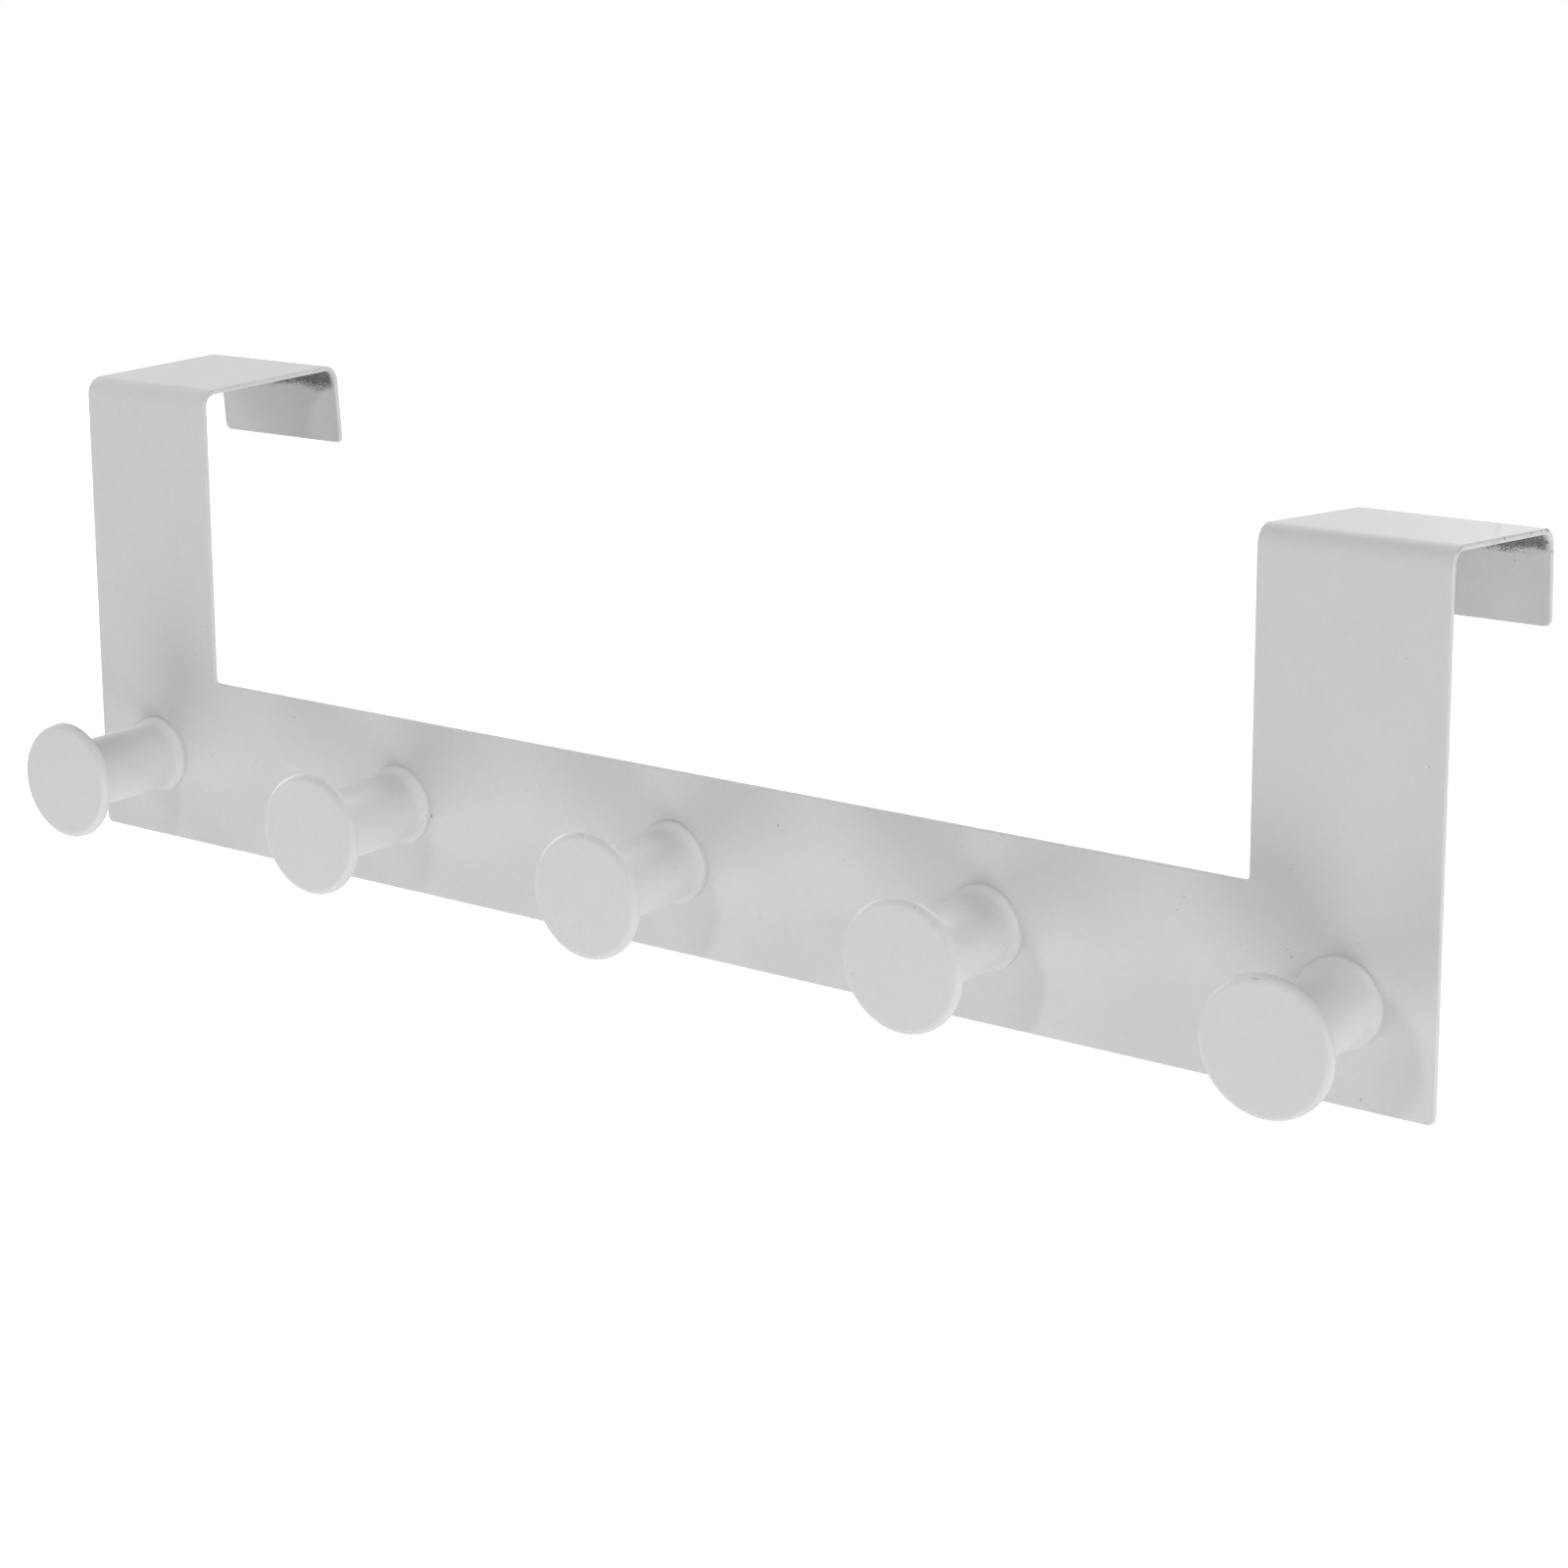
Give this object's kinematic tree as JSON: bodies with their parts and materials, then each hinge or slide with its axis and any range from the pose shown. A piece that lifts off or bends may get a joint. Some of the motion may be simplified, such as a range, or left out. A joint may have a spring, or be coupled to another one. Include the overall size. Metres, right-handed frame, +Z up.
{
  "type": "over door hook rail",
  "caption": "Folded sheet steel rail that hangs over a door by two straps, with a row of round spool pegs for coats and bags.",
  "frame": {"origin": "middle of the bar's back face, at the height of the pegs", "axes": "+X along the bar to the right as seen from the front, +Y into the door, +Z up"},
  "size_m": [0.35, 0.0761, 0.11],
  "materials": {
    "sheet_coat": "pale grey-white powder coat, satin, with a fine orange peel",
    "peg_coat": "the same pale powder coat, slightly smoother"
  },
  "bodies": {
    "root": {"hanger_plate": "sheet_coat", "peg_1": "peg_coat", "peg_2": "peg_coat", "peg_3": "peg_coat", "peg_4": "peg_coat", "peg_5": "peg_coat"}
  },
  "joints": []
}
